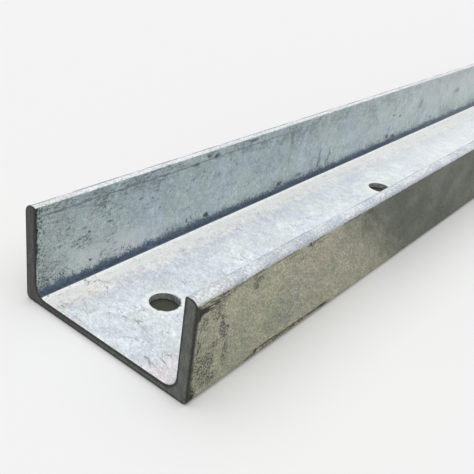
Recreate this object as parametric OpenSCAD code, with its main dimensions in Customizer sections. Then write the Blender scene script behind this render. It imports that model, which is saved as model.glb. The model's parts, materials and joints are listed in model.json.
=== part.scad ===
// Hot-dip galvanised parallel flange channel, lying on the back of its web with both flanges up.
// Rolled in one piece, sawn square at both ends, with one row of bolt holes through the web.
// Frame: X across the web, Y along the bar, Z up. The origin is the middle of the web's back.

/* [Section] */
// Depth of the section over both flanges
section_depth = 150; // [100:5:300]
// Width of each flange, from the back of the web to the toe
flange_width = 73; // [45:1:110]
// Thickness of the web
web_thickness = 5.5; // [4:0.5:12]
// Thickness of each flange
flange_thickness = 10; // [6:0.5:18]

/* [Rolled corners] */
// Radius of the root fillet between the web and a flange
root_radius = 10; // [6:0.5:18]
// Radius of the heel, where the web's back turns into a flange
heel_radius = 4; // [1:0.5:8]
// Radius of the toe's outer corner
toe_outer_radius = 6; // [1:0.25:8]
// Radius of the toe's inner corner
toe_inner_radius = 1.5; // [0.25:0.25:3]

/* [Length] */
// Sawn length of the bar
bar_length = 2400; // [600:50:6000]

/* [Bolt holes] */
// Diameter of each hole
hole_diameter = 22; // [12:1:30]
// Distance from one hole to the next
hole_pitch = 325; // [100:5:600]
// Distance from a sawn end to the first hole, and the least that is left at the other end
end_distance = 62.5; // [30:2.5:150]
// Sideways distance from the web's centreline to the row of holes
row_offset = -3; // [-15:0.5:15]
// Radius of the rolled-over rim at both mouths of a hole
rim_radius = 0.6; // [0.2:0.1:1.5]

/* [Hidden] */
$fn = 96;
// How far a cutting shape runs past the surface that it opens
overrun = 1;
// Guards the count of holes against rounding of the division
count_slack = 0.001;

clear_depth = section_depth - 2 * flange_thickness;
clear_height = flange_width - web_thickness;
// A radius is limited by the wall that carries it
root_r = min(root_radius, clear_depth / 2, clear_height);
toe_inner_r = min(toe_inner_radius, flange_thickness / 2);
toe_outer_r = min(toe_outer_radius, flange_thickness - toe_inner_r, clear_height);
heel_r = min(heel_radius, section_depth / 2, flange_width - toe_outer_r);
rim_r = min(rim_radius, web_thickness / 3);

row_length = bar_length - 2 * end_distance;
hole_count = floor(row_length / hole_pitch + count_slack) + 1;
hole_places = [for (i = [0 : hole_count - 1]) -bar_length / 2 + end_distance + i * hole_pitch];

// What a radius removes from a square corner.
// The corner is at the origin and the metal lies in the first quadrant.
module corner_waste(radius) {
    difference() {
        translate([-overrun, -overrun])
            square(radius + overrun);
        translate([radius, radius])
            circle(radius);
    }
}

// The trough between the flanges, with a fillet in each of its two lower corners.
module trough_outline() {
    translate([-clear_depth / 2, web_thickness + root_r])
        square([clear_depth, clear_height]);
    translate([-clear_depth / 2 + root_r, web_thickness])
        square([clear_depth - 2 * root_r, clear_height]);
    for (side = [-1, 1])
        translate([side * (clear_depth / 2 - root_r), web_thickness + root_r])
            circle(root_r);
}

// One half of the section's corners: the heel and both corners of a toe, on the +X side.
module rolled_corner_waste() {
    translate([section_depth / 2, 0])
        mirror([1, 0])
            corner_waste(heel_r);
    translate([section_depth / 2, flange_width])
        rotate(180)
            corner_waste(toe_outer_r);
    translate([clear_depth / 2, flange_width])
        mirror([0, 1])
            corner_waste(toe_inner_r);
}

// The rolled section, with its web along X and its flanges towards +Y.
module section_outline() {
    difference() {
        translate([-section_depth / 2, 0])
            square([section_depth, flange_width]);
        trough_outline();
        rolled_corner_waste();
        mirror([1, 0])
            rolled_corner_waste();
    }
}

// One bolt hole on the Z axis, through a web whose back is at Z = 0, with both rims rolled over.
module bolt_hole() {
    translate([0, 0, -overrun])
        cylinder(d = hole_diameter, h = web_thickness + 2 * overrun);
    rim_waste();
    translate([0, 0, web_thickness])
        mirror([0, 0, 1])
            rim_waste();
}

// The ring that a rim's radius removes around the hole's mouth at Z = 0.
module rim_waste() {
    rotate_extrude()
        difference() {
            translate([hole_diameter / 2 - overrun, -overrun])
                square([rim_r + overrun, rim_r + overrun]);
            translate([hole_diameter / 2 + rim_r, rim_r])
                circle(rim_r);
        }
}

module channel() {
    color("#b9c0c3")
        difference() {
            translate([0, bar_length / 2, 0])
                rotate([90, 0, 0])
                    linear_extrude(bar_length)
                        section_outline();
            for (place = hole_places)
                translate([row_offset, place, 0])
                    bolt_hole();
        }
}

channel();
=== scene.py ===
import json
import math
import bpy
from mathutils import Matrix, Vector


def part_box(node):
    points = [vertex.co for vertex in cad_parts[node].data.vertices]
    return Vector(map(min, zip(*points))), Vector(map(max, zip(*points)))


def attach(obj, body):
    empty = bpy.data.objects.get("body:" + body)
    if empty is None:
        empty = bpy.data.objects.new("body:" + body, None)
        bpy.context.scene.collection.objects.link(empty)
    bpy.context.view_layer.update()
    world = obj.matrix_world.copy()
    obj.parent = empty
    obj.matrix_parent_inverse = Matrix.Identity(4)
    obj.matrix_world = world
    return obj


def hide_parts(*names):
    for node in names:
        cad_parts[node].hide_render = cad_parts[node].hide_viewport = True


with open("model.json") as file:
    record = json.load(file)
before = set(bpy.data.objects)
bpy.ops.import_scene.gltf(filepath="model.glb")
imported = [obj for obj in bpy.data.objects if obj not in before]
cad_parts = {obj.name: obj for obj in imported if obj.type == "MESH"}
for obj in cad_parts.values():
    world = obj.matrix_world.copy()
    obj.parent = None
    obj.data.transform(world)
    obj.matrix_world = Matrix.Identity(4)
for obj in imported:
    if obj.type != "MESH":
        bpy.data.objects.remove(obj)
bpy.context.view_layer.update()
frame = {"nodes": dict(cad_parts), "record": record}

from types import SimpleNamespace
import bmesh
import bpy

record = frame["record"]
mounts = {mount["name"]: mount for mount in record["mounts"]}
print("frame loaded:", ", ".join(sorted(frame["nodes"])))

mm = 0.001
hair = 1e-6       # places closer together than this are one place
square = 0.9      # a face whose normal has at least this share along an axis is square to it


# small helpers

def tone(red, green, blue):
    # a colour as a paint chart gives it, 0 to 255, in the renderer's linear light
    return tuple((c / 255 / 12.92) if c < 10.3 else ((c / 255 + 0.055) / 1.055) ** 2.4
                 for c in (red, green, blue)) + (1.0,)


def radians(angles):
    return [math.radians(angle) for angle in angles]


def deselectAll():
    if bpy.context.object and bpy.context.object.mode != "OBJECT":
        bpy.ops.object.mode_set(mode="OBJECT")
    bpy.ops.object.select_all(action="DESELECT")


def pick(piece, kind, test):
    # selects the verts, edges or faces that pass the test, and nothing else
    bpy.ops.mesh.select_mode(type={"verts": "VERT", "edges": "EDGE", "faces": "FACE"}[kind])
    bpy.ops.mesh.select_all(action="DESELECT")
    cage = bmesh.from_edit_mesh(piece.data)
    for element in getattr(cage, kind):
        if test(element):
            element.select_set(True)
    cage.select_flush_mode()
    bmesh.update_edit_mesh(piece.data)


def bisectAll(place, normal, **settings):
    bpy.ops.mesh.select_all(action="SELECT")
    bpy.ops.mesh.bisect(plane_co=place, plane_no=normal, **settings)


def applyModifier(piece, kind, **settings):
    modifier = piece.modifiers.new(kind.title(), kind)
    for name, value in settings.items():
        setattr(modifier, name, value)
    bpy.ops.object.modifier_apply(modifier=modifier.name)


# the channel's shape

boltMounts = [m for m in record["mounts"] if m["kind"] == "bolt_pattern"]
pitch = boltMounts[0]["dims"]["spacing_y_mm"] * mm
holePlaces = sorted(m["pos_m"][1] + side * pitch / 2 for m in boltMounts for side in (-1, 1))
boxLow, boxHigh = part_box("channel")

channelSettings = {
    "halfDepth": boxHigh.x,
    "halfLength": boxHigh.y,
    "flangeWidth": boxHigh.z,
    "webThickness": mounts["web_inside"]["pos_m"][2],
    "flangeThickness": 10 * mm,
    "rootRadius": 10 * mm,
    "heelRadius": 4 * mm,
    "toeOuterRadius": 6 * mm,
    "toeInnerRadius": 1.5 * mm,
    "rowX": boltMounts[0]["pos_m"][0],
    "holeRadius": boltMounts[0]["dims"]["hole_r_mm"] * mm,
    "rimRadius": 0.6 * mm,
    "arris": 0.7 * mm,           # rounding of a sawn edge under its zinc
    "beadHeight": 0.2 * mm,      # how far the zinc stands up around a hole's upper mouth
    # rings of mesh around a hole: how far outside its rim, and their share of the bead's height
    "rings": ((5 * mm, 0.0), (2.6 * mm, 0.6), (0.8 * mm, 1.0)),
    "patchHalf": 24 * mm,        # half of the square around a hole that has the finer mesh
    "patchCells": 12,            # mesh cells along a side of that square
    "cell": 6 * mm,              # mesh cell elsewhere
    # mesh steps around each rounding
    "rootSteps": 9,
    "heelSteps": 5,
    "toeOuterSteps": 8,
    "toeInnerSteps": 3,
    "rimSteps": 4,
    "arrisSteps": 3,
    "swellSize": 45 * mm,        # the zinc's slow waves, and how far they go in
    "swellDepth": 0.22 * mm,
    "lumpSize": 11 * mm,         # the same for the lumps of the toes
    "lumpDepth": 0.25 * mm,
}


def divideEdges(piece, test, cell):
    # cuts each edge that passes the test into cells, one edge length at a time
    cage = bmesh.from_edit_mesh(piece.data)
    lengths = sorted({round(e.calc_length(), 6) for e in cage.edges if test(e)})
    for length in lengths:
        cuts = round(length / cell) - 1
        if cuts > 0:
            pick(piece, "edges", lambda e: test(e) and abs(e.calc_length() - length) < 2 * hair)
            bpy.ops.mesh.subdivide(number_cuts=cuts)


def makeHole(piece, s, centreY):
    # opens the square patch on both sides of the web, rounds the two gaps and joins them
    reach = s["patchHalf"] + hair

    def inPatch(v):
        return abs(v.co.x - s["rowX"]) < reach and abs(v.co.y - centreY) < reach

    def fromAxis(v):
        return math.hypot(v.co.x - s["rowX"], v.co.y - centreY)

    pick(piece, "faces", lambda f: abs(f.normal.z) > square and all(inPatch(v) for v in f.verts)
         and f.calc_center_median().z < 2 * s["webThickness"])
    bpy.ops.mesh.delete(type="FACE")
    rim = s["holeRadius"] + s["rimRadius"]
    rings = [(rim + away, share) for away, share in s["rings"]] + [(s["holeRadius"], 1.0)]
    for level, bead in ((s["webThickness"], s["beadHeight"]), (0.0, 0.0)):
        pick(piece, "edges", lambda e: e.is_boundary and all(
            inPatch(v) and abs(v.co.z - level) < hair for v in e.verts))
        for ring, share in rings:
            bpy.ops.mesh.extrude_region_move()
            bpy.ops.transform.tosphere(value=1)
            cage = bmesh.from_edit_mesh(piece.data)
            loop = [v for v in cage.verts if v.select]
            now = sum(fromAxis(v) for v in loop) / len(loop)
            height = sum(v.co.z for v in loop) / len(loop)
            bpy.ops.transform.resize(value=(ring / now, ring / now, 1),
                                     center_override=(s["rowX"], centreY, level))
            bpy.ops.transform.translate(value=(0, 0, level + bead * share - height))
    pick(piece, "edges", lambda e: e.is_boundary and all(
        fromAxis(v) < s["holeRadius"] + 10 * hair for v in e.verts))
    bpy.ops.mesh.bridge_edge_loops()
    pick(piece, "edges", lambda e: all(abs(fromAxis(v) - s["holeRadius"]) < 10 * hair for v in e.verts)
         and abs(e.verts[0].co.z - e.verts[1].co.z) < hair)
    bpy.ops.mesh.bevel(offset=s["rimRadius"], segments=s["rimSteps"], profile=0.5, affect="EDGES")


def makeTile(s, centreY):
    # one pitch of the bar with its hole in the middle: a plate, two flanges drawn up, corners rolled
    web, inside = s["webThickness"], s["halfDepth"] - s["flangeThickness"]
    bpy.ops.mesh.primitive_cube_add(size=1, location=(0, centreY, web / 2),
                                    scale=(2 * s["halfDepth"], pitch, web))
    bpy.ops.object.transform_apply(location=True, rotation=True, scale=True)
    tile = bpy.context.object
    bpy.ops.object.mode_set(mode="EDIT")
    for side in (-1, 1):
        bisectAll((side * inside, 0, 0), (1, 0, 0))
    pick(tile, "faces", lambda f: f.normal.z > square and abs(f.calc_center_median().x) > inside)
    bpy.ops.mesh.extrude_region_move(TRANSFORM_OT_translate={"value": (0, 0, s["flangeWidth"] - web)})
    pick(tile, "faces", lambda f: abs(f.normal.y) > square)
    bpy.ops.mesh.delete(type="FACE")

    for x, z, radius, steps in (
            (inside, web, s["rootRadius"], s["rootSteps"]),
            (s["halfDepth"], 0, s["heelRadius"], s["heelSteps"]),
            (s["halfDepth"], s["flangeWidth"], s["toeOuterRadius"], s["toeOuterSteps"]),
            (inside, s["flangeWidth"], s["toeInnerRadius"], s["toeInnerSteps"])):
        pick(tile, "edges", lambda e: all(
            abs(abs(v.co.x) - x) < hair and abs(v.co.z - z) < hair for v in e.verts))
        bpy.ops.mesh.bevel(offset=radius, segments=steps, profile=0.5, affect="EDGES")

    # the mesh is cut into cells across the bar first, then along it, finer around the hole
    patchCell = 2 * s["patchHalf"] / s["patchCells"]
    for side in (-1, 1):
        bisectAll((s["rowX"] + side * s["patchHalf"], 0, 0), (1, 0, 0))

    def inStrip(e):
        return all(abs(v.co.x - s["rowX"]) < s["patchHalf"] + hair for v in e.verts)

    divideEdges(tile, lambda e: e.is_boundary and not inStrip(e), s["cell"])
    divideEdges(tile, lambda e: e.is_boundary and inStrip(e), patchCell)
    for side in (-1, 1):
        bisectAll((0, centreY + side * s["patchHalf"], 0), (0, 1, 0))

    def lengthwise(e):
        return abs(e.verts[0].co.y - e.verts[1].co.y) > s["patchHalf"]

    # an edge beside the hole is as long as the patch, and one that runs on to the tile's end is longer
    besideHole = 2.5 * s["patchHalf"]
    divideEdges(tile, lambda e: lengthwise(e) and e.calc_length() < besideHole, patchCell)
    divideEdges(tile, lambda e: lengthwise(e) and e.calc_length() > besideHole, s["cell"])
    makeHole(tile, s, centreY)
    return tile


def addWaves(piece, name, group, size, depth):
    # slow unevenness of the zinc, always inwards, so that the bar never outgrows its section
    clouds = bpy.data.textures.new(name, "CLOUDS")
    clouds.noise_scale = size
    clouds.noise_depth = 1
    applyModifier(piece, "DISPLACE", texture=clouds, texture_coords="LOCAL", mid_level=1.0, strength=depth,
                  vertex_group=group)


def keepGroup(piece, name, test):
    # names the verts that pass the test, for a modifier that acts on them alone
    pick(piece, "verts", test)
    piece.vertex_groups.new(name=name)
    bpy.ops.object.vertex_group_assign()


def makeChannel(s):
    deselectAll()
    channel = makeTile(s, holePlaces[0])
    channel.name = channel.data.name = "galvanisedChannel"
    bpy.ops.object.mode_set(mode="OBJECT")
    applyModifier(channel, "ARRAY", count=len(holePlaces), use_relative_offset=False,
                  use_constant_offset=True, constant_offset_displace=(0, pitch, 0),
                  use_merge_vertices=True, merge_threshold=10 * hair)
    print("  rolled and drilled:", len(channel.data.polygons), "faces")

    bpy.ops.object.mode_set(mode="EDIT")
    for side in (-1, 1):  # the two saw cuts
        bisectAll((0, side * s["halfLength"], 0), (0, side, 0), clear_outer=True, use_fill=True)
    pick(channel, "edges", lambda e: all(abs(abs(v.co.y) - s["halfLength"]) < hair for v in e.verts)
         and any(abs(f.normal.y) < 0.5 for f in e.link_faces))
    bpy.ops.mesh.bevel(offset=s["arris"], segments=s["arrisSteps"], profile=0.5, affect="EDGES",
                       clamp_overlap=False)
    bpy.ops.mesh.select_all(action="SELECT")
    bpy.ops.mesh.normals_make_consistent(inside=False)
    skinEnd = s["halfLength"] - 2 * s["arris"]
    toeFoot = s["flangeWidth"] - 1.5 * s["toeOuterRadius"]
    keepGroup(channel, "skin", lambda v: abs(v.co.y) < skinEnd)
    keepGroup(channel, "toes", lambda v: abs(v.co.y) < skinEnd and v.co.z > toeFoot)
    bpy.ops.object.mode_set(mode="OBJECT")
    addWaves(channel, "zincWaves", "skin", s["swellSize"], s["swellDepth"])
    addWaves(channel, "toeLumps", "toes", s["lumpSize"], s["lumpDepth"])
    bpy.ops.object.shade_smooth()
    applyModifier(channel, "WEIGHTED_NORMAL", keep_sharp=True, weight=50)
    print("  sawn, dipped:", len(channel.data.polygons), "faces")
    return channel


# nodes of a finish: each helper adds what it says and gives back the socket that holds the result

def add(tree, kind, inputs=(), **settings):
    made = tree.nodes.new(kind)
    for name, value in settings.items():
        setattr(made, name, value)
    for name, value in dict(inputs).items():
        if isinstance(value, bpy.types.NodeSocket):
            tree.links.new(value, made.inputs[name])
        else:
            made.inputs[name].default_value = value
    return made


def calc(tree, operation, first, second=0.0):
    return add(tree, "ShaderNodeMath", {0: first, 1: second}, operation=operation).outputs[0]


def plus(tree, first, second):
    return calc(tree, "ADD", first, second)


def minus(tree, first, second):
    return calc(tree, "SUBTRACT", first, second)


def times(tree, first, second):
    return calc(tree, "MULTIPLY", first, second)


def between(tree, value, low, high, strength=1.0):
    # 0 up to low, strength from high on, and a soft step from one to the other
    return add(tree, "ShaderNodeMapRange", {
        "Value": value, "From Min": low, "From Max": high, "To Max": strength},
        interpolation_type="SMOOTHSTEP").outputs["Result"]


def cloud(tree, place, size, stretch=(1, 1, 1), detail=2.0, rough=0.5, shift=0.0, turn=(0, 0, 0)):
    # a noise whose blobs are about size across, drawn out by stretch and turned
    moved = add(tree, "ShaderNodeMapping", {
        "Vector": place, "Location": (shift, shift, shift), "Rotation": radians(turn),
        "Scale": [size * s for s in stretch]}, vector_type="TEXTURE")
    return add(tree, "ShaderNodeTexNoise", {
        "Vector": moved.outputs[0], "Scale": 1.0, "Detail": detail, "Roughness": rough}).outputs["Fac"]


def swing(tree, noise, reach):
    # a noise as a length that swings around nothing
    return times(tree, minus(tree, noise, 0.5), reach)


def blend(tree, factor, under, over):
    return add(tree, "ShaderNodeMix", {"Factor": factor, "A": under, "B": over},
               data_type="RGBA").outputs["Result"]


def shade(tree, colour, noise, low, high):
    # multiplies a colour by a grey that goes from low to high with the noise
    level = add(tree, "ShaderNodeMapRange", {"Value": noise, "From Min": 0.25, "From Max": 0.75,
                                             "To Min": low, "To Max": high}).outputs["Result"]
    return add(tree, "ShaderNodeVectorMath", {0: colour, "Scale": level}, operation="SCALE").outputs[0]


def placeOf(tree):
    # the place on the bar, its three coordinates, and the distance from the nearer sawn end
    place = add(tree, "ShaderNodeTexCoord").outputs["Object"]
    x, y, z = add(tree, "ShaderNodeSeparateXYZ", {0: place}).outputs
    endGap = minus(tree, channelSettings["halfLength"], calc(tree, "ABSOLUTE", y))
    return SimpleNamespace(place=place, x=x, y=y, z=z, endGap=endGap)


def zincPlaceOf(tree):
    # the same, with the coarse and the fine grain that all the zinc shares
    at = placeOf(tree)
    at.grain = cloud(tree, at.place, 1.7 * mm, detail=3, rough=0.6)
    at.fine = cloud(tree, at.place, 0.8 * mm, detail=2, shift=1)
    return at


def raggedPlace(tree, place, size, reach):
    # the place, pushed about by a noise, for marks with a torn border
    moved = add(tree, "ShaderNodeMapping", {"Vector": place, "Scale": (size,) * 3}, vector_type="TEXTURE")
    wild = add(tree, "ShaderNodeTexNoise", {"Vector": moved.outputs[0], "Scale": 1.0, "Detail": 3.0})
    push = add(tree, "ShaderNodeVectorMath", {0: wild.outputs["Color"], 1: (0.5, 0.5, 0.5)},
               operation="SUBTRACT")
    push = add(tree, "ShaderNodeVectorMath", {0: push.outputs[0], "Scale": reach}, operation="SCALE")
    return add(tree, "ShaderNodeVectorMath", {0: place, 1: push.outputs[0]}, operation="ADD").outputs[0]


def marks(tree, place, faceX, rows):
    # soft spots on one face; a row holds the distance from the near end, height, half length and
    # half height in mm, and the strength
    total = 0.0
    markDepth = 4 * mm
    for gap, height, halfLength, halfHeight, strength in rows:
        centre = (faceX, gap * mm - channelSettings["halfLength"], height * mm)
        local = add(tree, "ShaderNodeMapping", {
            "Vector": place, "Location": centre, "Scale": (markDepth, halfLength * mm, halfHeight * mm)},
            vector_type="TEXTURE")
        reach = add(tree, "ShaderNodeVectorMath", {0: local.outputs[0]}, operation="LENGTH")
        total = calc(tree, "MAXIMUM", total, between(tree, reach.outputs["Value"], 1.3, 0.6, strength))
    return total


def zincRoughness(tree, s, slow, fine):
    dullness = between(tree, slow, 0.3, 0.7, 0.18)
    return plus(tree, s["roughness"], plus(tree, dullness, times(tree, fine, 0.12)))


def startFinish(name):
    material = bpy.data.materials.new(name)
    material.use_nodes = True
    material.node_tree.nodes.clear()
    return material, material.node_tree


def endFinish(tree, s, colour, roughness, height):
    bump = add(tree, "ShaderNodeBump", {"Height": height, "Distance": s["bump"], "Strength": 1.0})
    skin = add(tree, "ShaderNodeBsdfPrincipled", {
        "Base Color": colour, "Metallic": s["metallic"], "Roughness": roughness, "Normal": bump.outputs[0]})
    out = add(tree, "ShaderNodeOutputMaterial")
    tree.links.new(skin.outputs[0], out.inputs["Surface"])


# the inside of the trough: web, root fillets and the inner faces of the flanges
# a name that ends in Across, Gap or High holds where a thing starts and where it is full: across the
# bar, as the distance from a sawn end, or as the height above the floor

troughSettings = {
    "metallic": 0.25,
    "roughness": 0.40,
    "bump": 0.12 * mm,
    "web": tone(213, 219, 226),
    "webPale": tone(227, 232, 236),
    "webLilac": tone(216, 217, 231),
    "webGreen": tone(212, 221, 221),
    "warmPale": tone(247, 243, 239),
    "warmRose": tone(229, 222, 225),
    "rustTrace": tone(208, 203, 201),
    "beadPale": tone(242, 244, 242),
    "rootPale": tone(251, 252, 250),
    "flangeGrey": tone(186, 199, 203),
    "flangeGreen": tone(190, 202, 201),
    "flangeBlue": tone(186, 198, 204),
    "flangeMoss": tone(195, 206, 200),
    "flangePale": tone(216, 222, 222),
    "dull": tone(114, 128, 132),
    "scratch": tone(88, 100, 102),
    "pit": tone(66, 76, 78),
    "soot": tone(44, 49, 48),
    # painted reflection: dark blue tones along the far root, standing in for what the glossy fillet mirrors
    # there
    "stain": tone(53, 67, 84),
    "stainPale": tone(91, 106, 121),
    "stainBlue": tone(76, 93, 122),
    "stainFar": tone(112, 121, 129),
    "stripAcross": (-35 * mm, -46 * mm),
    "rootAcross": (-46 * mm, -51.5 * mm),
    "cornerAcross": (24 * mm, 46 * mm),
    "cornerGap": (36 * mm, 14 * mm),
    "fleckGap": (75 * mm, 15 * mm),
    "scratchGap": (80 * mm, 25 * mm),
    "beadReach": (17 * mm, 13.5 * mm),    # around a hole, from its axis
    "nickReach": (12.3 * mm, 11.6 * mm),  # the same for the dark nicks along its mouth
    "nickSide": (-9 * mm, 5 * mm),        # across the web, from a hole's axis
    "mossGap": (34 * mm, 8 * mm),
    "freshFromGap": (24 * mm, 40 * mm),   # a paler patch low on the flange
    "freshToGap": (130 * mm, 80 * mm),
    "freshHigh": (36 * mm, 22 * mm),
    "smearHigh": (50 * mm, 66 * mm),
    "smearGap": (230 * mm, 60 * mm),
    "scrapeHigh": (40 * mm, 68 * mm),
    "scrapeGap": (330 * mm, 40 * mm),
    "lipHeight": 65.2 * mm,               # a drawn line below the toe
    "lipSwing": 6 * mm,
    "lipGap": (420 * mm, 180 * mm),
    "hangGap": (200 * mm, 320 * mm),
    "edgeSpeckGap": (14 * mm, 1 * mm),
    "speckGap": (90 * mm, 10 * mm),
    "speckHigh": (24 * mm, 11 * mm),
    "sootGap": (2.6 * mm, 1.5 * mm),
    "sootHigh": (24 * mm, 40 * mm),
    "webPalerGap": (60 * mm, 820 * mm),   # painted sheen: the zinc is painted paler away from the sawn ends
    "flangePalerGap": (200 * mm, 820 * mm),
    "flangePalerHigh": (4 * mm, 48 * mm),
    "stainFoot": 6.6 * mm,                # the painted reflection along the far root, from this height
    "stainTop": 11.0 * mm,                # up to about this one
    "nearRootRise": 8.5 * mm,             # the near root is as pale as the web, this much further up
    "stainPaleHigh": (7.5 * mm, 11.5 * mm),
    "stainFarGap": (420 * mm, 800 * mm),
    # distance from the near end, height, half length, half height, strength
    "pits": (
        (20, 37.5, 1.8, 1.4, 0.5), (38, 37, 1.5, 1.0, 0.7), (46, 40.5, 1.4, 1.0, 0.7),
        (48, 16.6, 1.5, 1.1, 1.0), (65, 43, 2.4, 0.9, 0.7), (96, 52, 2.6, 1.0, 0.6),
        (109, 49, 1.3, 1.0, 0.7), (118, 38, 1.6, 1.0, 0.6), (152, 15.2, 1.2, 2.2, 0.9),
        (157, 17, 1.0, 1.8, 0.7), (158, 64.5, 5.0, 1.2, 0.7), (173, 68.7, 2.0, 1.6, 0.8),
        (183, 66.7, 2.4, 2.0, 0.9), (177, 13.2, 3.6, 2.2, 1.0), (213, 52, 1.5, 1.2, 0.6),
        (236, 69.6, 6.0, 1.4, 0.7), (288, 12.9, 5.0, 1.9, 0.9), (322, 13.8, 7.0, 1.8, 0.6),
        (527, 40.4, 4.0, 1.3, 0.7), (546, 36.4, 3.5, 1.6, 0.7), (605, 42, 6.0, 6.0, 0.35),
        (520, 14.8, 4.0, 2.6, 0.8), (536, 12.3, 5.0, 2.0, 0.9), (648, 17, 4.0, 1.4, 0.7),
        (727, 42, 10.0, 2.6, 0.4)),
    "blotches": (
        (470, 42, 14, 10, 0.6), (455, 58, 22, 6, 0.5), (360, 22, 5, 14, 0.8), (378, 20, 4, 15, 0.8),
        (300, 38, 4, 9, 0.4), (600, 46, 10, 10, 0.5), (622, 34, 12, 6, 0.4), (700, 17, 18, 7, 0.5),
        (725, 43, 14, 5, 0.6), (752, 26, 14, 8, 0.4), (335, 52, 12, 7, 0.4), (512, 62, 40, 4, 0.4),
        (232, 65, 34, 4, 0.55), (310, 61, 40, 5, 0.6), (345, 63, 20, 4, 0.5)),
}


def webTones(tree, s, at):
    patches = cloud(tree, at.place, 30 * mm, detail=3, shift=2)
    tints = cloud(tree, at.place, 32 * mm, detail=4, rough=0.6, shift=5)
    web = blend(tree, between(tree, patches, 0.38, 0.62), s["web"], s["webPale"])
    web = blend(tree, between(tree, tints, 0.50, 0.62, 0.55), web, s["webLilac"])
    web = blend(tree, between(tree, tints, 0.46, 0.36, 0.65), web, s["webGreen"])
    # the pale strip beside the far root, cream and rose in broken patches: painted light against the
    # corner's shade, with painted highlights in warm streaks
    slow = cloud(tree, at.place, 24 * mm, stretch=(1, 1.6, 1), detail=3, shift=34)
    strip = times(tree, between(tree, at.x, *s["stripAcross"]), between(tree, slow, 0.30, 0.52))
    web = blend(tree, times(tree, strip, 0.75), web, s["rootPale"])
    streaks = cloud(tree, at.place, 9 * mm, stretch=(0.8, 2, 1), detail=5, rough=0.65, shift=3)
    web = blend(tree, times(tree, strip, between(tree, streaks, 0.42, 0.58)), web, s["warmPale"])
    web = blend(tree, times(tree, strip, between(tree, streaks, 0.45, 0.36)), web, s["warmRose"])
    marked = cloud(tree, at.place, 5 * mm, stretch=(0.6, 1.8, 1), detail=5, rough=0.75, shift=24)
    web = blend(tree, times(tree, strip, between(tree, marked, 0.54, 0.66, 0.6)), web, s["rustTrace"])
    corner = times(tree, between(tree, at.x, *s["cornerAcross"]), between(tree, at.endGap, *s["cornerGap"]))
    web = blend(tree, times(tree, corner, between(tree, patches, 0.36, 0.60, 0.8)), web, s["warmRose"])
    # two sets of short strokes over soft clouds, and a little grain
    strokes = cloud(tree, at.place, 1.4 * mm, stretch=(3, 0.9, 1), detail=4, rough=0.7, shift=16,
                    turn=(0, 0, -6))
    crossed = cloud(tree, at.place, 1.6 * mm, stretch=(0.9, 3.2, 1), detail=4, rough=0.7, shift=26,
                    turn=(0, 0, 34))
    web = shade(tree, web, cloud(tree, at.place, 7 * mm, detail=4, rough=0.7, shift=25), 0.82, 1.16)
    web = shade(tree, web, strokes, 0.79, 1.21)
    web = shade(tree, web, crossed, 0.81, 1.19)
    # painted highlights along the crossed strokes
    web = blend(tree, between(tree, crossed, 0.58, 0.70, 0.5), web, s["beadPale"])
    # painted light beside the far root, lifting the shade that the far flange casts on the web
    paintedLightBesideRoot = times(tree, between(tree, at.x, *s["rootAcross"]), between(tree, marked, 0.68, 0.50))
    web = blend(tree, paintedLightBesideRoot, web, s["rootPale"])
    return shade(tree, web, at.fine, 0.83, 1.17)


def scratchWeb(tree, s, at, web):
    # flecks, most of them near a sawn end, and fine scratches in loose groups
    flecks = cloud(tree, at.place, 1.9 * mm, stretch=(1, 0.7, 1), detail=3, rough=0.65, shift=4,
                   turn=(0, 0, 35))
    flecks = plus(tree, flecks, between(tree, at.endGap, *s["fleckGap"], 0.04))
    web = blend(tree, between(tree, flecks, 0.63, 0.77, 0.45), web, s["dull"])
    lines = cloud(tree, at.place, 9 * mm, stretch=(3.2, 1, 1), detail=3, rough=0.55, shift=9,
                  turn=(0, 0, -14))
    lines = between(tree, calc(tree, "ABSOLUTE", minus(tree, lines, 0.5)), 0.016, 0.003, 0.72)
    groups = plus(tree, cloud(tree, at.place, 20 * mm, detail=3, rough=0.6, shift=17),
                  between(tree, at.endGap, *s["scratchGap"], 0.09))
    groups = between(tree, groups, 0.57, 0.66)
    return blend(tree, times(tree, lines, groups), web, s["dull"])


def beadHoles(tree, s, shape, at, web):
    # a torn pale bead around each hole, with dark nicks along its mouth
    alongPitch = add(tree, "ShaderNodeMath", {0: minus(tree, at.y, holePlaces[0]), 1: pitch / 2,
                                              2: -pitch / 2}, operation="WRAP").outputs[0]
    fromHole = add(tree, "ShaderNodeCombineXYZ", {0: minus(tree, at.x, shape["rowX"]), 1: alongPitch})
    fromHole = add(tree, "ShaderNodeVectorMath", {0: fromHole.outputs[0]}, operation="LENGTH")
    fromHole = fromHole.outputs["Value"]
    tear = cloud(tree, at.place, 2.2 * mm, detail=3, rough=0.6, shift=18)
    torn = plus(tree, fromHole, swing(tree, tear, 9 * mm))
    web = blend(tree, between(tree, torn, *s["beadReach"], 0.7), web, s["beadPale"])
    nicks = plus(tree, fromHole, swing(tree, tear, 5 * mm))
    nickSide = [shape["rowX"] + away for away in s["nickSide"]]
    nicks = times(tree, between(tree, nicks, *s["nickReach"], 0.85), between(tree, at.x, *nickSide))
    return blend(tree, nicks, web, s["pit"])


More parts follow.
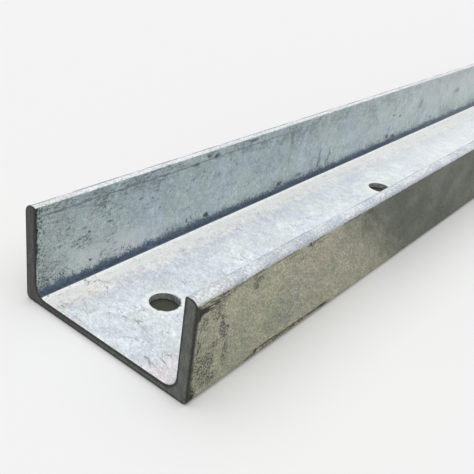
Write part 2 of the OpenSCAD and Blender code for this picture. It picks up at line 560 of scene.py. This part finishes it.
def flangeTones(tree, s, at):
    patches = cloud(tree, at.place, 34 * mm, detail=3, shift=2)
    tints = cloud(tree, at.place, 46 * mm, detail=2, shift=5)
    flange = blend(tree, between(tree, patches, 0.38, 0.60), s["flangeGrey"], s["flangeGreen"])
    flange = blend(tree, between(tree, tints, 0.50, 0.66), flange, s["flangeBlue"])
    flange = blend(tree, between(tree, at.endGap, *s["mossGap"], 0.7), flange, s["flangeMoss"])
    slow = cloud(tree, at.place, 22 * mm, stretch=(1, 1.3, 1), detail=4, rough=0.7, shift=6)
    flange = shade(tree, flange, slow, 0.83, 1.17)
    flange = shade(tree, flange, cloud(tree, at.place, 4.5 * mm, detail=4, rough=0.7, shift=19), 0.80, 1.20)
    flange = shade(tree, flange, at.grain, 0.78, 1.22)
    flange = shade(tree, flange, at.fine, 0.82, 1.18)
    fresh = times(tree, between(tree, at.endGap, *s["freshFromGap"]),
                  between(tree, at.endGap, *s["freshToGap"]))
    fresh = times(tree, fresh, between(tree, at.z, *s["freshHigh"]))
    return blend(tree, times(tree, fresh, 0.75), flange, s["flangePale"])


def scratchFlange(tree, s, shape, at, flange):
    # dark drawn marks below the toe, densest near a sawn end, and short scratches among them
    smears = cloud(tree, at.place, 3 * mm, stretch=(1, 6, 0.5), detail=4, rough=0.7, shift=7)
    smears = plus(tree, smears, between(tree, at.endGap, *s["smearGap"], 0.05))
    smears = times(tree, between(tree, at.z, *s["smearHigh"]), between(tree, smears, 0.52, 0.66, 0.53))
    flange = blend(tree, smears, flange, s["dull"])
    scraped = cloud(tree, at.place, 17 * mm, stretch=(1, 1.6, 1), detail=3, rough=0.6, shift=27)
    scraped = plus(tree, scraped, between(tree, at.z, *s["scrapeHigh"], 0.10))
    scraped = plus(tree, scraped, between(tree, at.endGap, *s["scrapeGap"], 0.06))
    scratches = cloud(tree, at.place, 1.3 * mm, stretch=(1, 2.6, 0.8), detail=4, rough=0.75, shift=28,
                      turn=(12, 0, 0))
    scratches = times(tree, between(tree, scraped, 0.58, 0.68), between(tree, scratches, 0.49, 0.60, 0.8))
    flange = blend(tree, scratches, flange, s["scratch"])
    wander = cloud(tree, at.place, 14 * mm, stretch=(1, 3, 1), detail=4, rough=0.7, shift=36)
    lip = plus(tree, minus(tree, at.z, s["lipHeight"]), swing(tree, wander, s["lipSwing"]))
    lip = between(tree, calc(tree, "ABSOLUTE", lip), 1.1 * mm, 0.2 * mm, 0.5)
    lip = times(tree, lip, between(tree, at.endGap, *s["lipGap"]))
    flange = blend(tree, lip, flange, s["scratch"])
    # streaks that hang down the face, away from the ends, and wide soft blotches
    hang = cloud(tree, at.place, 6 * mm, stretch=(1, 1, 2.6), detail=5, rough=0.72, shift=8)
    hangPlace = times(tree, between(tree, cloud(tree, at.place, 70 * mm, shift=11), 0.44, 0.56),
                      between(tree, at.endGap, *s["hangGap"]))
    flange = blend(tree, times(tree, hangPlace, between(tree, hang, 0.50, 0.64, 0.6)), flange, s["dull"])
    blotches = marks(tree, raggedPlace(tree, at.place, 9 * mm, 24 * mm),
                     boxLow.x + shape["flangeThickness"], s["blotches"])
    return blend(tree, times(tree, blotches, between(tree, hang, 0.36, 0.56)), flange, s["dull"])


def speckFlange(tree, s, at, slow, flange):
    # dark specks near the sawn ends and the root, a dark ragged border along the cut, and a painted sheen
    # that makes the zinc paler further in
    specks = cloud(tree, at.place, 1.4 * mm, detail=3, rough=0.7, shift=10)
    more = plus(tree, between(tree, at.endGap, *s["edgeSpeckGap"], 0.09),
                between(tree, at.endGap, *s["speckGap"], 0.05))
    nearRoot = times(tree, between(tree, at.z, *s["speckHigh"], 0.13), between(tree, slow, 0.40, 0.58))
    more = plus(tree, more, nearRoot)
    specks = between(tree, plus(tree, specks, more), 0.63, 0.73, 0.9)
    flange = blend(tree, specks, flange, s["pit"])
    # a dark ragged border beside the sawn end, high on the flange
    torn = cloud(tree, at.place, 4 * mm, detail=4, rough=0.7, shift=33)
    cutEdge = plus(tree, at.endGap, swing(tree, torn, 6 * mm))
    cutEdge = times(tree, between(tree, cutEdge, *s["sootGap"]), between(tree, at.z, *s["sootHigh"]))
    flange = blend(tree, cutEdge, flange, s["soot"])
    # painted sheen: the flange's lower part is painted paler away from the sawn ends
    paintedSheen = times(tree, between(tree, at.endGap, *s["flangePalerGap"], 0.46),
                  between(tree, at.z, *s["flangePalerHigh"]))
    return blend(tree, paintedSheen, flange, s["beadPale"]), specks


def paintReflectionInRoot(tree, s, at, slow, flange):
    # painted reflection along the far root: darkest and crisp below, breaking up into dots above
    tear = cloud(tree, at.place, 1.5 * mm, detail=4, rough=0.75, shift=12)
    rise = plus(tree, at.z, swing(tree, tear, -12 * mm))
    rise = plus(tree, rise, swing(tree, slow, -5 * mm))
    stain = blend(tree, between(tree, at.z, *s["stainPaleHigh"]), s["stain"], s["stainPale"])
    stain = blend(tree, between(tree, slow, 0.54, 0.70, 0.6), stain, s["stainBlue"])
    stain = blend(tree, between(tree, at.endGap, *s["stainFarGap"], 0.45), stain, s["stainFar"])
    blots = cloud(tree, at.place, 2.6 * mm, stretch=(1, 1.3, 0.8), detail=4, rough=0.75, shift=35)
    stain = shade(tree, stain, blots, 1.70, 0.30)
    onFar = between(tree, at.x, 0, -1 * mm)
    haze = between(tree, rise, s["stainTop"] + 4 * mm, s["stainTop"] - 1 * mm, 0.45)
    core = between(tree, rise, s["stainTop"] + 0.6 * mm, s["stainTop"] - 0.6 * mm)
    flange = blend(tree, times(tree, haze, onFar), flange, s["stainPale"])
    return blend(tree, times(tree, core, onFar), flange, stain)


def paintTrough(s, shape):
    material, tree = startFinish("zincTrough")
    at = zincPlaceOf(tree)
    web = webTones(tree, s, at)
    web = scratchWeb(tree, s, at, web)
    web = beadHoles(tree, s, shape, at, web)
    # painted sheen: the web is painted paler away from the sawn ends
    web = blend(tree, between(tree, at.endGap, *s["webPalerGap"], 0.48), web, s["beadPale"])

    slow = cloud(tree, at.place, 13 * mm, detail=3, rough=0.6, shift=32)
    flange = flangeTones(tree, s, at)
    flange = scratchFlange(tree, s, shape, at, flange)
    flange, specks = speckFlange(tree, s, at, slow, flange)
    flange = paintReflectionInRoot(tree, s, at, slow, flange)
    ragged = raggedPlace(tree, at.place, 1.4 * mm, 3.4 * mm)
    pits = marks(tree, ragged, boxLow.x + shape["flangeThickness"], s["pits"])
    flange = blend(tree, pits, flange, s["pit"])

    # the far root turns pale again below the painted reflection, the near one is pale all the way up
    crispTop = plus(tree, s["stainFoot"], times(tree, between(tree, at.x, 0, 1 * mm), s["nearRootRise"]))
    onWeb = between(tree, minus(tree, at.z, crispTop), 0.15 * mm, -0.15 * mm)
    colour = blend(tree, onWeb, flange, web)
    roughness = zincRoughness(tree, s, cloud(tree, at.place, 32 * mm, shift=2), at.fine)
    height = plus(tree, at.grain, times(tree, at.fine, 0.5))
    height = minus(tree, height, times(tree, specks, 0.8))
    endFinish(tree, s, colour, roughness, height)
    return material


# the outside: outer faces, heels, the web's back, and the lumpy toes

outsideSettings = {
    "metallic": 0.25,
    "roughness": 0.42,
    "bump": 0.15 * mm,
    # the outer face's tones are partly painted shade: the olive darker than the trough's zinc, the slate
    # darker still
    "olive": tone(190, 188, 166),
    "oliveGreen": tone(181, 182, 160),
    "tan": tone(190, 179, 163),
    "greenGrey": tone(166, 172, 157),
    "slate": tone(97, 100, 90),
    "slatePale": tone(108, 111, 101),
    "shadow": tone(124, 124, 108),
    "dark": tone(60, 58, 48),
    "soot": tone(22, 21, 17),
    "toeBlue": tone(194, 202, 211),
    "toePale": tone(224, 228, 231),
    "toeWhite": tone(240, 242, 243),
    "toeWarm": tone(218, 219, 214),
    "toeGrey": tone(146, 153, 160),
    "toeLine": tone(112, 117, 121),
    "slateGap": (222 * mm, 322 * mm),     # the olive turns to the slate's painted shade, at the bar's foot
    "slateSlope": 1.5,                    # and this many times its height nearer to the sawn end
    "slateSwing": 90 * mm,
    "strokeTurn": (-38, 0, 0),            # degrees
    "footHigh": (16 * mm, 2 * mm),
    "strokeGap": (30 * mm, 110 * mm),
    "dotGap": (34 * mm, 5 * mm),
    "cutGap": (2.6 * mm, 1.2 * mm),
    "toeEdge": 70.05 * mm,                # height at which the pale toe ends, on the outer rounding
    "toeWarmGap": (46 * mm, 22 * mm),
    "farLineAcross": (-69 * mm, -70.4 * mm),
    "wornFromGap": (48 * mm, 68 * mm),    # a duller stretch of the near toe
    "wornToGap": (140 * mm, 112 * mm),
    "lineInset": 1.2 * mm,                # of the near toe's broken line, from the inner face
    # distance from the near end, height, half length, half height, strength
    "smudges": (
        (2, 7, 5, 9.0, 1.0), (1, 20, 2.5, 12, 0.7), (57.5, 65, 3.6, 2.0, 0.9), (56, 60.5, 2.2, 1.8, 0.8),
        (53, 66, 2, 5, 0.5), (60, 4, 8, 2.2, 0.8), (66, 5, 4, 2.6, 0.9), (84, 4.6, 19, 1.3, 1.0),
        (118, 4.2, 19, 1.1, 0.95), (150, 4.4, 8, 2.0, 0.95), (178, 3.6, 12, 1.0, 0.5),
        (92, 67.6, 7, 0.9, 0.6), (116, 68.6, 7, 1.2, 0.95), (129, 67.2, 8, 0.8, 0.6),
        (105, 61.5, 5, 0.9, 0.6), (153, 34, 3.5, 1.0, 0.6), (195, 67.8, 7, 1.5, 0.7)),
    # the torn lower border of a thicker coat of zinc
    "seam": ((66, 6.6, 2.4, 1.7, 1.0), (80, 6.8, 17, 0.9, 0.95), (110, 6.0, 21, 0.8, 0.9),
             (142, 5.0, 17, 1.0, 0.9), (149, 4.6, 4, 1.6, 0.9)),
    "tans": ((132, 57, 34, 7, 0.75), (118, 44, 14, 8, 0.5), (172, 40, 14, 10, 0.4)),
    "greens": ((98, 24, 16, 14, 0.7), (112, 40, 12, 8, 0.5), (150, 36, 16, 6, 0.6), (206, 60, 22, 8, 0.5)),
    "curls": (
        (19, 57, 4, 5, 0.9), (25, 49, 3.5, 6, 1.0), (28, 40, 3.5, 6, 1.0), (30, 28, 3, 8, 0.9),
        (33, 17, 3, 7, 0.8), (20, 36, 7, 3, 0.7), (12, 22, 8, 11, 0.9), (5, 33, 4, 16, 0.7),
        (19, 10, 9, 5, 0.8), (7, 56, 5, 5, 0.7)),
    "smear": (
        (14, 66.5, 14, 3.6, 1.0), (22, 68.2, 14, 1.6, 1.0), (18, 61.8, 7, 1.2, 0.8),
        (38, 69.0, 14, 1.0, 0.6)),
    "smearSolid": ((1, 64.5, 4.5, 5.5, 1.0), (6, 65.5, 5.0, 2.6, 1.0), (1, 4, 5, 5, 1.0)),
}


def outerTones(tree, s, at, patches):
    # olive near the sawn ends and slate beyond, parted along a torn slanting border; the olive is partly
    # the zinc's dirty colour and partly painted shade of a face turned from the light, and the slate is
    # painted shade where the face's reflection fades away from the sawn ends
    face = blend(tree, between(tree, patches, 0.40, 0.62), s["olive"], s["oliveGreen"])
    warm = cloud(tree, at.place, 26 * mm, stretch=(1, 2, 1), detail=3, shift=4)
    face = blend(tree, between(tree, warm, 0.54, 0.70, 0.25), face, s["tan"])
    drifting = raggedPlace(tree, at.place, 12 * mm, 34 * mm)
    face = blend(tree, marks(tree, drifting, boxHigh.x, s["tans"]), face, s["tan"])
    face = blend(tree, marks(tree, drifting, boxHigh.x, s["greens"]), face, s["greenGrey"])
    slate = blend(tree, between(tree, warm, 0.42, 0.64), s["slate"], s["slatePale"])
    slate = blend(tree, between(tree, at.z, *s["footHigh"], 0.8), slate, s["slatePale"])
    drift = cloud(tree, at.place, 7 * mm, stretch=(1, 3, 0.8), detail=5, rough=0.7, shift=23,
                  turn=s["strokeTurn"])
    slant = plus(tree, swing(tree, drift, s["slateSwing"]), times(tree, at.z, s["slateSlope"]))
    onSlateShade = between(tree, plus(tree, at.endGap, slant), *s["slateGap"])
    # slanting strokes: faint near a sawn end, plain on the olive, soft on the slate
    strokes = cloud(tree, at.place, 1.2 * mm, stretch=(1, 3.2, 0.9), detail=5, rough=0.75, shift=3,
                    turn=s["strokeTurn"])
    soft = cloud(tree, at.place, 7 * mm, stretch=(1, 3, 0.8), detail=4, rough=0.65, shift=29,
                 turn=(-34, 0, 0))
    calm = shade(tree, face, strokes, 0.70, 1.36)
    lively = shade(tree, face, strokes, 0.50, 1.42)
    face = blend(tree, between(tree, at.endGap, *s["strokeGap"]), calm, lively)
    face = blend(tree, onSlateShade, face, shade(tree, slate, strokes, 0.74, 1.24))
    face = shade(tree, face, soft, 0.80, 1.20)
    face = shade(tree, face, at.grain, 0.80, 1.20)
    return shade(tree, face, at.fine, 0.54, 1.46)


def smudgeOuter(tree, s, at, face):
    # dark dots, loose everywhere and in curled drifts near a sawn end
    curls = marks(tree, raggedPlace(tree, at.place, 9 * mm, 11 * mm), boxHigh.x, s["curls"])
    dots = cloud(tree, at.place, 1.3 * mm, detail=4, rough=0.75, shift=10)
    face = blend(tree, times(tree, curls, between(tree, dots, 0.40, 0.58, 0.85)), face, s["shadow"])
    drifted = plus(tree, dots, times(tree, curls, 0.11))
    drifted = plus(tree, drifted, between(tree, at.endGap, *s["dotGap"], 0.03))
    specks = between(tree, drifted, 0.59, 0.68, 0.8)
    face = blend(tree, specks, face, s["dark"])
    broken = between(tree, cloud(tree, at.place, 2.2 * mm, detail=3, rough=0.7, shift=21), 0.36, 0.54)
    smudges = marks(tree, raggedPlace(tree, at.place, 2.2 * mm, 6.0 * mm), boxHigh.x, s["smudges"])
    face = blend(tree, times(tree, smudges, broken), face, s["dark"])
    seam = marks(tree, raggedPlace(tree, at.place, 4 * mm, 1.6 * mm), boxHigh.x, s["seam"])
    face = blend(tree, seam, face, s["dark"])
    # the smear that runs back from the near toe: solid at the saw cut, drawn out in streaks
    drawn = cloud(tree, at.place, 1.4 * mm, stretch=(1, 6, 0.7), detail=4, rough=0.65, shift=30)
    ragged = raggedPlace(tree, at.place, 1.6 * mm, 3.0 * mm)
    smear = times(tree, marks(tree, ragged, boxHigh.x, s["smear"]), between(tree, drawn, 0.38, 0.54, 0.9))
    face = blend(tree, smear, face, s["soot"])
    face = blend(tree, marks(tree, ragged, boxHigh.x, s["smearSolid"]), face, s["soot"])
    cutEdge = plus(tree, at.endGap, swing(tree, dots, 5 * mm))
    face = blend(tree, between(tree, cutEdge, *s["cutGap"], 0.8), face, s["dark"])
    rim = cloud(tree, at.place, 5 * mm, stretch=(1, 6, 1), detail=3, shift=13)
    rimLine = times(tree, between(tree, at.z, s["toeEdge"] - 1.8 * mm, s["toeEdge"] - 0.3 * mm),
                    between(tree, rim, 0.42, 0.60, 0.75))
    return blend(tree, rimLine, face, s["dark"]), specks


def paintToes(tree, s, shape, at, kernels):
    slow = cloud(tree, at.place, 14 * mm, stretch=(1, 2, 1), detail=3, shift=14)
    toe = blend(tree, between(tree, slow, 0.36, 0.64), s["toeBlue"], s["toePale"])
    toe = blend(tree, between(tree, at.x, 0, -1 * mm, 0.5), toe, s["toeWhite"])
    toe = blend(tree, between(tree, at.endGap, *s["toeWarmGap"], 0.45), toe, s["toeWarm"])
    toe = shade(tree, toe, kernels, 0.46, 1.44)
    toe = blend(tree, between(tree, kernels, 0.38, 0.28, 0.6), toe, s["toeGrey"])
    drawn = cloud(tree, at.place, 1.3 * mm, stretch=(0.6, 9, 1), detail=3, rough=0.6, shift=22)
    toe = blend(tree, between(tree, drawn, 0.54, 0.70, 0.6), toe, s["toeGrey"])
    # a grey line along the far toe's outer rounding, broken ones at the near toe's inner corner
    torn = cloud(tree, at.place, 16 * mm, stretch=(1, 3, 1), detail=4, rough=0.65, shift=31)
    farLine = times(tree, between(tree, at.x, *s["farLineAcross"]), between(tree, torn, 0.38, 0.54, 0.9))
    toe = blend(tree, farLine, toe, s["toeLine"])
    # painted shade: the toe's outer rounding turns greyer as it turns away from the light
    toe = blend(tree, between(tree, at.z, boxHigh.z - 1.2 * mm, s["toeEdge"], 0.25), toe, s["toeGrey"])
    worn = times(tree, between(tree, at.endGap, *s["wornToGap"], 0.3),
                 between(tree, at.endGap, *s["wornFromGap"]))
    toe = blend(tree, times(tree, worn, between(tree, at.x, 0, 1 * mm)), toe, s["toeGrey"])
    lineX = boxHigh.x - shape["flangeThickness"] + s["lineInset"]
    nearLine = between(tree, calc(tree, "ABSOLUTE", minus(tree, at.x, lineX)), 1.1 * mm, 0.2 * mm)
    nearLine = times(tree, nearLine, between(tree, torn, 0.42, 0.56, 0.6))
    return blend(tree, nearLine, toe, s["toeGrey"])


def paintOutside(s, shape):
    material, tree = startFinish("zincOutside")
    at = zincPlaceOf(tree)
    patches = cloud(tree, at.place, 34 * mm, detail=3, shift=2)
    kernels = cloud(tree, at.place, 1.5 * mm, detail=3, rough=0.7, shift=15)
    face = outerTones(tree, s, at, patches)
    face, specks = smudgeOuter(tree, s, at, face)
    toe = paintToes(tree, s, shape, at, kernels)
    edge = plus(tree, at.z, swing(tree, kernels, 2 * mm))
    onToe = between(tree, edge, s["toeEdge"] - 0.2 * mm, s["toeEdge"] + 0.2 * mm)
    colour = blend(tree, onToe, face, toe)
    roughness = zincRoughness(tree, s, patches, at.fine)
    height = minus(tree, plus(tree, at.grain, kernels), times(tree, specks, 0.8))
    endFinish(tree, s, colour, roughness, height)
    return material


# the sawn ends, their edges, and the walls of the holes

sawSettings = {
    "metallic": 0.25,
    "bump": 0.15 * mm,
    "steelDark": tone(84, 85, 84),
    "steelLight": tone(112, 116, 110),
    "steelSpeck": tone(52, 53, 50),
    "edge": tone(38, 40, 37),
    "bore": tone(148, 152, 151),
    "borePale": tone(182, 186, 184),
    "boreDark": tone(84, 86, 80),
    "lightAcross": (-70 * mm, 75 * mm),
    "sawPitch": 1.1 * mm,
    "burr": (2.4 * mm, 0.9 * mm),         # depth of a sawn end's dark border, and where it is full
    "burrSwing": 2.4 * mm,
}


def depthInSection(tree, shape, x, z):
    # how far a place on a sawn end lies inside the outline of flange, web or root, whichever is most
    side = calc(tree, "ABSOLUTE", x)
    low, high = shape["halfDepth"] - shape["flangeThickness"], shape["halfDepth"]
    toOutside = calc(tree, "MINIMUM", z, minus(tree, high, side))
    inFlange = calc(tree, "MINIMUM", toOutside, minus(tree, side, low))
    inFlange = calc(tree, "MINIMUM", inFlange, minus(tree, shape["flangeWidth"], z))
    inWeb = calc(tree, "MINIMUM", z, minus(tree, shape["webThickness"], z))
    centreX, centreZ = low - shape["rootRadius"], shape["webThickness"] + shape["rootRadius"]
    across = calc(tree, "MAXIMUM", minus(tree, side, centreX), 0.0)
    down = calc(tree, "MAXIMUM", minus(tree, centreZ, z), 0.0)
    fromCentre = plus(tree, times(tree, across, across), times(tree, down, down))
    fromCentre = calc(tree, "SQRT", fromCentre)
    inRoot = calc(tree, "MINIMUM", toOutside, minus(tree, fromCentre, shape["rootRadius"]))
    return calc(tree, "MAXIMUM", inFlange, calc(tree, "MAXIMUM", inWeb, inRoot))


def paintSawnEnd(s, shape):
    material, tree = startFinish("sawnSteel")
    at = placeOf(tree)
    patches = cloud(tree, at.place, 6 * mm, stretch=(1, 1, 1.6), detail=4, rough=0.65)
    grain = cloud(tree, at.place, 1.4 * mm, detail=3, rough=0.65, shift=1)
    cut = cloud(tree, at.place, s["sawPitch"], stretch=(1, 1, 12), shift=2, turn=(0, 9, 0))
    colour = blend(tree, between(tree, at.x, *s["lightAcross"]), s["steelDark"], s["steelLight"])
    colour = shade(tree, colour, patches, 0.58, 1.38)
    colour = shade(tree, colour, cut, 0.66, 1.28)
    colour = shade(tree, colour, grain, 0.62, 1.30)
    colour = blend(tree, between(tree, grain, 0.58, 0.72, 0.6), colour, s["steelSpeck"])
    depth = plus(tree, depthInSection(tree, shape, at.x, at.z), swing(tree, grain, s["burrSwing"]))
    colour = blend(tree, between(tree, depth, *s["burr"], 0.85), colour, s["edge"])
    roughness = plus(tree, 0.46, times(tree, patches, 0.25))
    endFinish(tree, s, colour, roughness, plus(tree, grain, cut))
    return material


def paintArris(s):
    material, tree = startFinish("sawnEdge")
    grain = cloud(tree, placeOf(tree).place, 2.5 * mm, detail=3)
    colour = blend(tree, between(tree, grain, 0.48, 0.72), s["edge"], s["steelDark"])
    roughness = plus(tree, 0.50, times(tree, grain, 0.2))
    endFinish(tree, s, colour, roughness, grain)
    return material


def paintBore(s):
    material, tree = startFinish("boreZinc")
    place = placeOf(tree).place
    runs = cloud(tree, place, 3 * mm, stretch=(1, 1, 3), detail=3)
    grain = cloud(tree, place, 1.2 * mm, shift=1)
    colour = blend(tree, between(tree, runs, 0.40, 0.62), s["bore"], s["borePale"])
    colour = blend(tree, between(tree, grain, 0.54, 0.68, 0.8), colour, s["boreDark"])
    roughness = plus(tree, 0.4, times(tree, runs, 0.2))
    endFinish(tree, s, colour, roughness, grain)
    return material


def giveFinishes(channel, shape):
    # each finish goes on the faces that its own tool or bath made
    wall = shape["halfDepth"] - shape["flangeThickness"]
    boreReach = shape["holeRadius"] + 0.3 * shape["rimRadius"]
    arrisStart = shape["halfLength"] - 0.8 * shape["arris"]

    def end(f):
        return abs(f.calc_center_median().y) > shape["halfLength"] - 10 * hair and abs(f.normal.y) > square

    def arris(f):
        return abs(f.calc_center_median().y) > arrisStart and not end(f)

    def bore(f):
        c = f.calc_center_median()
        return c.z < 2 * shape["webThickness"] and any(
            math.hypot(c.x - shape["rowX"], c.y - place) < boreReach for place in holePlaces)

    def trough(f):
        c = f.calc_center_median()
        return c.z > 0.5 * shape["webThickness"] and abs(c.x) < wall + 0.5 * mm

    # a later finish takes faces from the ones before it
    finishes = (
        (paintOutside(outsideSettings, shape), lambda f: True),
        (paintTrough(troughSettings, shape), trough),
        (paintBore(sawSettings), bore),
        (paintSawnEnd(sawSettings, shape), end),
        (paintArris(sawSettings), arris))
    deselectAll()
    bpy.context.view_layer.objects.active = channel
    channel.select_set(True)
    for material, test in finishes:
        channel.data.materials.append(material)
    bpy.ops.object.mode_set(mode="EDIT")
    for slot, (material, test) in enumerate(finishes):
        pick(channel, "faces", test)
        channel.active_material_index = slot
        bpy.ops.object.material_slot_assign()
    bpy.ops.object.mode_set(mode="OBJECT")


channel = makeChannel(channelSettings)
giveFinishes(channel, channelSettings)
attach(channel, "root")
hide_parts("channel")
print("channel modelled and finished")


# floor, lamps, camera

stageSettings = {
    "floorSize": 80.0,
    "floorDrop": 0.3 * mm,                # keeps the floor clear of the web's back
    "pale": tone(242, 242, 242),
    "bounce": tone(150, 151, 148),
    "shade": tone(76, 79, 70),            # painted shade on the floor that the bar hides, seen only through its holes
    "shadeAcross": (62 * mm, 58 * mm),
    "shadeGap": (12 * mm, 16 * mm),
    "worldLight": 0.33,
    "sunStrength": 2.15,
    "sunAngle": 100,
    "sunTilt": (4, 3, 0),
}
cameraSettings = {
    "location": (0.25793, -1.43998, 0.27827),
    "turn": (61.529, -7.47, 38.529),
    "lens": 51.535,
    "sensorWidth": 36,
    "clipStart": 0.01,
}


def seenDirectly(tree):
    # 1 for rays that show the floor or the world as a background: straight, mirrored or through glass
    path = add(tree, "ShaderNodeLightPath").outputs
    mirrored = calc(tree, "MAXIMUM", path["Is Glossy Ray"], path["Is Transmission Ray"])
    return calc(tree, "MAXIMUM", path["Is Camera Ray"], mirrored)


def makeFloor(s):
    deselectAll()
    bpy.ops.mesh.primitive_plane_add(size=s["floorSize"], location=(0, 0, -s["floorDrop"]))
    floor = bpy.context.object
    floor.name = "floor"
    bpy.ops.object.transform_apply(location=True, rotation=True, scale=True)
    material, tree = startFinish("paleFloor")
    at = placeOf(tree)
    pale = blend(tree, seenDirectly(tree), s["bounce"], s["pale"])
    # painted shade: the floor under the bar is darker, so that the holes show dark
    under = times(tree, between(tree, calc(tree, "ABSOLUTE", at.x), *s["shadeAcross"]),
                  between(tree, at.endGap, *s["shadeGap"]))
    matt = add(tree, "ShaderNodeBsdfDiffuse", {"Color": blend(tree, under, pale, s["shade"])})
    out = add(tree, "ShaderNodeOutputMaterial")
    tree.links.new(matt.outputs[0], out.inputs["Surface"])
    floor.data.materials.append(material)


def makeLight(s):
    world = bpy.data.worlds.new("studio")
    bpy.context.scene.world = world
    world.use_nodes = True
    tree = world.node_tree
    tree.nodes.clear()
    glow = (s["worldLight"], s["worldLight"], s["worldLight"], 1)
    sky = add(tree, "ShaderNodeBackground", {"Color": blend(tree, seenDirectly(tree), glow, s["pale"])})
    out = add(tree, "ShaderNodeOutputWorld")
    tree.links.new(sky.outputs[0], out.inputs["Surface"])

    bpy.ops.object.light_add(type="SUN", location=(0, 0, 3), rotation=radians(s["sunTilt"]))
    sun = bpy.context.object
    sun.name = "softSun"
    sun.data.energy = s["sunStrength"]
    sun.data.angle = math.radians(s["sunAngle"])


def makeCamera(s):
    bpy.ops.object.camera_add(location=s["location"], rotation=radians(s["turn"]))
    camera = bpy.context.object
    camera.data.sensor_width = s["sensorWidth"]
    camera.data.lens = s["lens"]
    camera.data.clip_start = s["clipStart"]
    bpy.context.scene.camera = camera


makeFloor(stageSettings)
makeLight(stageSettings)
makeCamera(cameraSettings)
bpy.context.scene.view_settings.view_transform = "Standard"
print("stage, lamps and camera ready")
